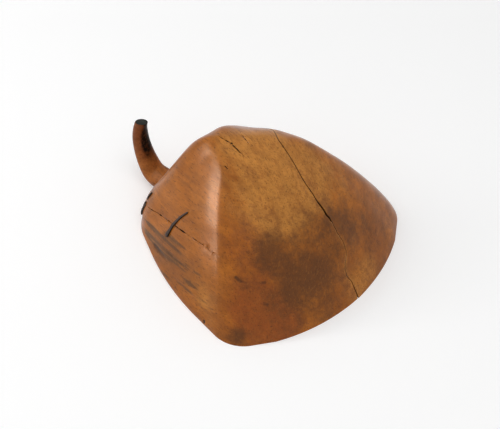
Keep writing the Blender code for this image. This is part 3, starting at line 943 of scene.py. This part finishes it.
# Painted shade: points high on the hook that face away from the window are made nearly black.
SHADED_SIDE = Vector((0.80, 0.30, 0.50)).normalized()
SHADED_FACING = (0.30, 0.70)
SHADED_HEIGHT = (26 * MM, 46 * MM)
BARE_HEIGHT = (40 * MM, 20 * MM)
END_REACH, END_SHARPNESS = 5 * MM, 8
PAINTED_SHADE_DARK, END_DARK, END_GRIME = 1.1, 0.5, 0.7
handle_form.normal_update()
for vert in handle_form.verts:
    facing = ramp(vert.normal.dot(SHADED_SIDE), *SHADED_FACING)
    high = ramp(vert.co.z, *SHADED_HEIGHT)
    at_end = vert.co.z > tip_place.z - END_REACH
    cap = max(0, vert.normal.dot(TIP_CUT_NORMAL)) ** END_SHARPNESS * at_end
    vert[dark] = min(1, PAINTED_SHADE_DARK * facing * high + END_DARK * cap)
    vert[tan] = ramp(vert.co.z, *BARE_HEIGHT)
    vert[grime_and_shade] = END_GRIME * cap
print("handle points stained dark:", sum(v[dark] > 0.5 for v in handle_form.verts))
# The dark colour is painted shade on the inside of the hook, and the grey-black of the cut end.
HANDLE_COLOURS = {"light": "96552c", "clouds": "7c431f", "tan": "b06c34", "red": "6e3420",
                  "bands": "6a381a", "dark": "15100c", "streak": "5a2e18", "figure": "5c321a",
                  "hair": "8d5a3a", "scratch": "4a2a18", "pores": "3a2011", "grime_and_shade": "232a28"}
HANDLE_AMOUNTS = dict(BOWL_AMOUNTS, dark=1.0, pores=0.4)
handle_wood = wood("handled_dark_wood", HANDLE_COLOURS, HANDLE_AMOUNTS, 0.50, 0.02)
handle = finish_piece(handle_form, "hook_handle", "handle", handle_wood)

# %% [markdown]
# The tenon goes through a round hole in the wall, and a thin saw cut in the tenon holds the wedge.
# Both are cut out of the finished pieces, so that nothing runs through anything else.

# %% The hole for the tenon and the cut for the wedge
def cut_out(piece, form):
    """Cuts a plain shape out of a finished piece, which keeps its own layers."""
    cutter = put("cutter", mesh_of("cutter", form))
    modifier = piece.modifiers.new("cut", "BOOLEAN")
    modifier.solver = "EXACT"
    modifier.object = cutter
    graph = bpy.context.evaluated_depsgraph_get()
    cut = bpy.data.meshes.new_from_object(piece.evaluated_get(graph), preserve_all_data_layers=True,
                                          depsgraph=graph)
    piece.modifiers.clear()
    piece.data = cut
    cut.set_sharp_from_angle(angle=SHARP_ANGLE)
    bpy.data.objects.remove(cutter)
    print(piece.name, "has", len(cut.polygons), "faces after the cut")


HOLE_RADIUS, HOLE_LENGTH = (TENON_RADIUS + FIT) * MM, 60 * MM
KERF_ROOM = Vector((0.25, 0.25, 4)) * MM
KERF_REACH = Vector((20, 0, 0)) * MM
tenon_place = Matrix.Translation(spot(wall_x, HANDLE_OFFSET, HANDLE_HEIGHT))
hole = bmesh.new()
bmesh.ops.create_cone(hole, cap_ends=True, segments=HANDLE_SIDES, radius1=HOLE_RADIUS, radius2=HOLE_RADIUS,
                      depth=HOLE_LENGTH, matrix=tenon_place @ Matrix.Rotation(math.pi / 2, 4, "Y"))
cut_out(body, hole)
wedge_low, wedge_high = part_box("handle_wedge")
kerf = bmesh.new()
kerf_size = wedge_high - wedge_low + 2 * KERF_ROOM + KERF_REACH
kerf_middle = (wedge_low + wedge_high + KERF_REACH) / 2
kerf_place = Matrix.Translation(kerf_middle) @ Matrix.Diagonal((*kerf_size, 1))
bmesh.ops.create_cube(kerf, size=1, matrix=kerf_place)
cut_out(handle, kerf)

# %% [markdown]
# ## The iron staples
# A smith cut the staples from thin rod, flattened it and hammered its pointed legs into the wood.
# A bent curve could stand for one, but a wrapped grid lets each ring differ, as a hammer leaves it.
# The rings follow each staple's path: up one leg, along the wood and down the other.

# %% The staples
# Each staple: points on the wood, and how far it sinks into the crack, in mm.
STAPLES = {
    "staple_rear": ([(-155, -51.5, 35), (-158, -54, 26), (-157.5, -57, 22.5),
                     (-160.6, -59.5, 10.5)], 2.2),
    "staple_side": ([(-97.9, -63.4, 62.2), (-104.2, -66.9, 53.7), (-109.2, -71.2, 43.5),
                     (-112.2, -76.5, 31.8)], 0.4),
}
STAPLE_LEG = 6.0 * MM
STAPLE_SIDES, CROWN_STEPS = 16, 10
LEG_STEPS = (5, 4, 3, 2, 1)
SINK_PLACE, SINK_SPREAD = 0.42, 0.07
# Half sizes in mm: of a leg, and of the crown where it starts with what it gains by its end.
LEG_HALF = 0.9
CROWN_HALF_WIDTH, WIDTH_GAIN = 0.55, 1.5
CROWN_HALF_HEIGHT, HEIGHT_GAIN = 0.8, 0.3
CROWN_LIFT = 0.6
HAMMER_DEPTH, HAMMER_BLOWS = 0.3, 9
SQUARENESS = 0.5


def forged_staple(name, points, sink):
    """A flattened rod along some points on the wood, sunk where it crosses the crack, with two legs."""
    crown = [skin_tree.find_nearest(p)[:2] for p in on_surface(skin_tree, points, CROWN_STEPS)]
    legs = [[(p - n * STAPLE_LEG * k / LEG_STEPS[0], n) for k in LEG_STEPS] for p, n in (crown[0], crown[-1])]
    stations = legs[0] + crown + legs[1][::-1]
    last = len(stations) - 1

    def place(column, row):
        point, normal = stations[row]
        before, after = stations[max(row - 1, 0)][0], stations[min(row + 1, last)][0]
        along = (after - before).normalized()
        side = along.cross(normal).normalized()
        top = side.cross(along).normalized()
        share = row / last
        hammered = 1 + HAMMER_DEPTH * noise.noise(Vector((share * HAMMER_BLOWS, len(name), 0)))
        turn = 2 * math.pi * column / STAPLE_SIDES
        square = 1 / max(abs(math.cos(turn)), abs(math.sin(turn))) ** SQUARENESS
        on_wood = len(LEG_STEPS) <= row <= last - len(LEG_STEPS)
        # The first and the last ring shrink to a point, which closes the legs.
        size = MM * hammered * (0 < row < last)
        wide, tall, lift = LEG_HALF * size, LEG_HALF * size, 0
        if on_wood:
            wide = (CROWN_HALF_WIDTH + WIDTH_GAIN * share) * size
            tall = (CROWN_HALF_HEIGHT + HEIGHT_GAIN * share) * size
            lift = CROWN_LIFT - sink * math.exp(-((share - SINK_PLACE) / SINK_SPREAD) ** 2)
        outward = point + normal * lift * MM
        across, above = wide * math.cos(turn) * square, tall * math.sin(turn) * square
        return outward + side * across + top * above, 1.0

    return wrap_grid(STAPLE_SIDES, last, place)


print("staples to forge:", ", ".join(STAPLES))

# %% The iron
SCALE_WIDTH = 2.2 * MM


def forged_iron(name):
    # Forged iron is black with scale, dull to the eye with a weak gleam, and brown where it rusts.
    # Real scale is finer than this pattern, and wouldn't show in the picture.
    material, tree = new_material(name)
    place = add(tree, "ShaderNodeTexCoord").outputs["Object"]
    sizes = {"Vector": place, "Scale": 1 / SCALE_WIDTH, "Detail": 5.0}
    scale = add(tree, "ShaderNodeTexNoise", sizes).outputs["Fac"]
    ends = {"Value": scale, "From Min": 0.52, "From Max": 0.72, "To Max": 0.6}
    rust = add(tree, "ShaderNodeMapRange", ends).outputs[0]
    parts = {FACTOR: rust, COLOUR_A: linear("221d1a"), COLOUR_B: linear("452c1e")}
    mixed = add(tree, "ShaderNodeMix", parts, data_type="RGBA")
    bump = add(tree, "ShaderNodeBump", {"Height": scale, "Strength": 0.5, "Distance": 0.4 * MM})
    rough = add(tree, "ShaderNodeMath", {0: rust, 1: 0.3, 2: 0.48}, operation="MULTIPLY_ADD")
    surface = {"Base Color": mixed.outputs[MIXED], "Metallic": 0.6, "Roughness": rough.outputs[0],
               "Normal": bump.outputs[0]}
    shader = add(tree, "ShaderNodeBsdfPrincipled", surface)
    add(tree, "ShaderNodeOutputMaterial", {"Surface": shader.outputs[0]})
    return material


iron = forged_iron("forged_iron")
for name, (points, sink) in STAPLES.items():
    form = forged_staple(name, [spot(*p) for p in points], sink)
    finish_piece(form, name + "_forged", name, iron)

# %% [markdown]
# ## The wedge
# The wedge in the tenon is a plain sliver, so the frame's own solid stays. It only needs its finish:
# dry, sawn wood, paler than the bowl.

# %% The wedge's finish
WEDGE_COLOURS = dict(BOWL_COLOURS, light="b08a55", clouds="a67c48")
wedge_wood = wood("dry_wedge_wood", WEDGE_COLOURS, BOWL_AMOUNTS, 0.65, 0.08)
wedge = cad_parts["handle_wedge"]
wedge.data.materials.clear()
wedge.data.materials.append(wedge_wood)
print("wedge finished with", wedge_wood.name)

# %% [markdown]
# ## Floor, light and camera
# A plain white floor meets a white surround, so the scoop seems to lie on a sheet of paper. The light
# is a tall, narrow window to the left of the camera, whose highlight runs down the near ridge. It is
# two lamps in one place, one that only lights and one that only shows in the wax, because one lamp
# couldn't be right for both. A weak low lamp shows only in the wax too, and a soft one hangs above.
# The camera stands where the photographer stood, with a long lens.

# %% The floor
FLOOR_SIZE = 12.0
FLOOR_GLOW = 0.2


def seen_by_eye(tree):
    """1 for rays that lead to the eye, straight, by a shine or through glass, and 0 for other light."""
    rays = add(tree, "ShaderNodeLightPath").outputs
    seen = rays["Is Camera Ray"]
    for kind in ("Is Glossy Ray", "Is Transmission Ray"):
        seen = add(tree, "ShaderNodeMath", {0: seen, 1: rays[kind]}, operation="MAXIMUM").outputs[0]
    return seen


def white_floor(name):
    # Matt white paper has no shine. A faint glow, for the eye alone, keeps it as white as the surround.
    material, tree = new_material(name)
    paper = add(tree, "ShaderNodeBsdfDiffuse", {"Color": linear("f2f2f2")}).outputs[0]
    glow = add(tree, "ShaderNodeEmission", {"Color": (1, 1, 1, 1), "Strength": FLOOR_GLOW}).outputs[0]
    both = add(tree, "ShaderNodeAddShader", {0: paper, 1: glow}).outputs[0]
    mixed = add(tree, "ShaderNodeMixShader", {0: seen_by_eye(tree), 1: paper, 2: both})
    add(tree, "ShaderNodeOutputMaterial", {"Surface": mixed.outputs[0]})
    return material


floor_bm = bmesh.new()
bmesh.ops.create_grid(floor_bm, x_segments=1, y_segments=1, size=FLOOR_SIZE / 2)
floor = put("floor", mesh_of("floor", floor_bm))
floor.data.materials.append(white_floor("white_paper"))
floor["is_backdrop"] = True
print("floor is", FLOOR_SIZE, "m wide")

# %% The surround
SURROUND_LIGHT = 0.45
world = bpy.data.worlds.new("white_surround")
bpy.context.scene.world = world
world.use_nodes = True
world.node_tree.nodes.clear()
ends = {"Value": seen_by_eye(world.node_tree), "To Min": SURROUND_LIGHT, "To Max": 1.0}
strength = add(world.node_tree, "ShaderNodeMapRange", ends)
white = {"Color": (1, 1, 1, 1), "Strength": strength.outputs[0]}
backdrop = add(world.node_tree, "ShaderNodeBackground", white)
add(world.node_tree, "ShaderNodeOutputWorld", {"Surface": backdrop.outputs[0]})
print("light of the surround:", SURROUND_LIGHT)

# %% The lamps
AIM = Vector((0, 0, 40 * MM))


def soft_lamp(name, direction, top, distance, size, watts, colour, lights, shines):
    """A lamp that faces the scoop, long towards top, which lights the wood or shines in its wax."""
    data = bpy.data.lights.new(name, "AREA")
    data.shape = "RECTANGLE"
    data.size, data.size_y = size
    data.energy = watts
    data.color = linear(colour)[:3]
    lamp = put(name, data)
    away = Vector(direction).normalized()
    side = Vector(top).cross(away).normalized()
    lamp.location = AIM + away * distance
    lamp.rotation_euler = Matrix((side, away.cross(side), away)).transposed().to_euler()
    lamp.visible_diffuse, lamp.visible_glossy = lights, shines
    print(name, "at", [round(v, 2) for v in lamp.location])


WINDOW = ((-0.705, -0.43, 0.565), (0.08, 0.73, 0.68), 1.5, (0.12, 1.5))
soft_lamp("window_left", *WINDOW, 7, "ffffff", True, False)
soft_lamp("window_glint", *WINDOW, 33, "ffd6ba", False, True)
soft_lamp("low_glint", (-0.62, -0.78, 0.10), (0, 0, 1), 1.5, (0.14, 0.3), 2.5, "ffd6ba", False, True)
soft_lamp("overhead", (0.30, -0.20, 1.0), (0, 1, 0), 1.8, (1.4, 1.4), 11, "ffffff", True, False)

# %% The camera
CAMERA_AZIMUTH = math.radians(43.90)
CAMERA_ELEVATION = math.radians(48.08)
CAMERA_ROLL = math.radians(-0.73)
CAMERA_DISTANCE = 1522.5 * MM
PHOTO_WIDTH, PHOTO_HEIGHT = 500, 429
LIP_MIDDLE_PIXEL = (317.9, 276.0)
FOCAL_PIXELS = 1705.2
SENSOR = 36.0

back = Vector((math.sin(CAMERA_AZIMUTH) * math.cos(CAMERA_ELEVATION),
               -math.cos(CAMERA_AZIMUTH) * math.cos(CAMERA_ELEVATION), math.sin(CAMERA_ELEVATION)))
camera_data = bpy.data.cameras.new("camera")
camera_data.sensor_width = SENSOR
camera_data.lens = SENSOR * FOCAL_PIXELS / PHOTO_WIDTH
camera = put("camera", camera_data)
turn = (-back).to_track_quat("-Z", "Y") @ Quaternion((0, 0, 1), CAMERA_ROLL)
to_right = turn @ Vector((1, 0, 0))
to_top = turn @ Vector((0, 1, 0))
pixel = CAMERA_DISTANCE / FOCAL_PIXELS
sideways = (LIP_MIDDLE_PIXEL[0] - PHOTO_WIDTH / 2) * pixel
upwards = (PHOTO_HEIGHT / 2 - LIP_MIDDLE_PIXEL[1]) * pixel
camera.location = spot(0, 0) + back * CAMERA_DISTANCE - to_right * sideways - to_top * upwards
camera.rotation_euler = turn.to_euler()
bpy.context.scene.camera = camera
bpy.context.scene.view_settings.view_transform = "Standard"
print("camera lens:", round(camera_data.lens, 1), "mm")

# %% [markdown]
# ## The dressed size
# The dressed scoop must not outgrow its frame. Its box is printed in millimetres.

# %% Write the sizes
low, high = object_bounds()
print("box in mm:", [round((b - a) / MM, 1) for a, b in zip(low, high)])
